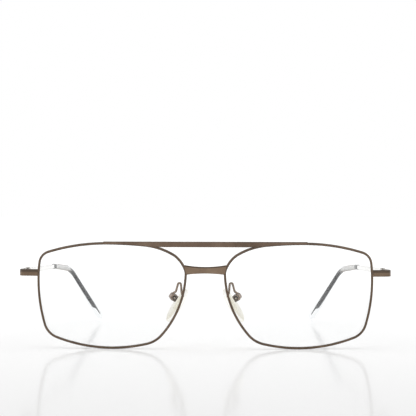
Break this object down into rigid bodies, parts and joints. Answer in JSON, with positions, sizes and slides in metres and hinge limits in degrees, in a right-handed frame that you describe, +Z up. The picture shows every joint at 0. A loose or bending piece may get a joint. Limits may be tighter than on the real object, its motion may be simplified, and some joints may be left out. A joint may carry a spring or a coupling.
{
  "type": "double bridge glasses",
  "caption": "Wire-rimmed metal glasses with a straight brow bar above a waisted bridge, clear lenses, nose pads on wire arms and folding temples with clear plastic ear tips.",
  "frame": {"origin": "middle of the floor under the open glasses, which stand on the bottoms of the rims and on the ear tips", "axes": "+X from the wearer's right to the wearer's left, -Y the way the front faces, +Y back along the open temples, +Z up"},
  "size_m": [0.1486, 0.1444, 0.0427],
  "materials": {
    "frame_metal": "satin brown plated",
    "screw_steel": "satin",
    "lens": "clear, coated",
    "pad_silicone": "soft clear, slightly yellowed",
    "pad_insert": "clear",
    "ear_tip_plastic": "clear, polished"
  },
  "bodies": {
    "front": {"brow_bar": "frame_metal", "bridge": "frame_metal", "rim_left": "frame_metal", "rim_right": "frame_metal", "lens_left": "lens", "lens_right": "lens", "pad_arm_left": "frame_metal", "pad_arm_right": "frame_metal", "pad_box_left": "frame_metal", "pad_box_right": "frame_metal", "pad_screw_left": "screw_steel", "pad_screw_right": "screw_steel", "endpiece_left": "frame_metal", "endpiece_right": "frame_metal", "rim_lock_upper_left": "frame_metal", "rim_lock_upper_right": "frame_metal", "rim_lock_lower_left": "frame_metal", "rim_lock_lower_right": "frame_metal", "rim_lock_screw_left": "screw_steel", "rim_lock_screw_right": "screw_steel", "hinge_front_left": "frame_metal", "hinge_front_right": "frame_metal", "hinge_screw_left": "screw_steel", "hinge_screw_right": "screw_steel"},
    "temple_body_left": {"temple_left": "frame_metal", "temple_tip_left": "ear_tip_plastic", "hinge_temple_left": "frame_metal"},
    "nose_pad_body_left": {"nose_pad_left": "pad_silicone", "pad_core_left": "pad_insert"},
    "temple_body_right": {"temple_right": "frame_metal", "temple_tip_right": "ear_tip_plastic", "hinge_temple_right": "frame_metal"},
    "nose_pad_body_right": {"nose_pad_right": "pad_silicone", "pad_core_right": "pad_insert"}
  },
  "joints": [
    {"name": "temple_fold_left", "type": "hinge", "parent": "front", "child": "temple_body_left", "pos_m": [-0.0717, -0.0583, 0.03009], "axis": [0, 0, -1], "range_deg": [0, 79]},
    {"name": "temple_fold_right", "type": "hinge", "parent": "front", "child": "temple_body_right", "pos_m": [0.0717, -0.0583, 0.03009], "axis": [0, 0, 1], "range_deg": [0, 83]},
    {"name": "pad_rock_left", "type": "hinge", "parent": "front", "child": "nose_pad_body_left", "pos_m": [-0.01266, -0.06541, 0.02049], "axis": [-0.2901, 0.9248, 0.2464], "range_deg": [-8, 8]},
    {"name": "pad_rock_right", "type": "hinge", "parent": "front", "child": "nose_pad_body_right", "pos_m": [0.01266, -0.06541, 0.02049], "axis": [0.2901, 0.9248, 0.2464], "range_deg": [-8, 8]}
  ]
}
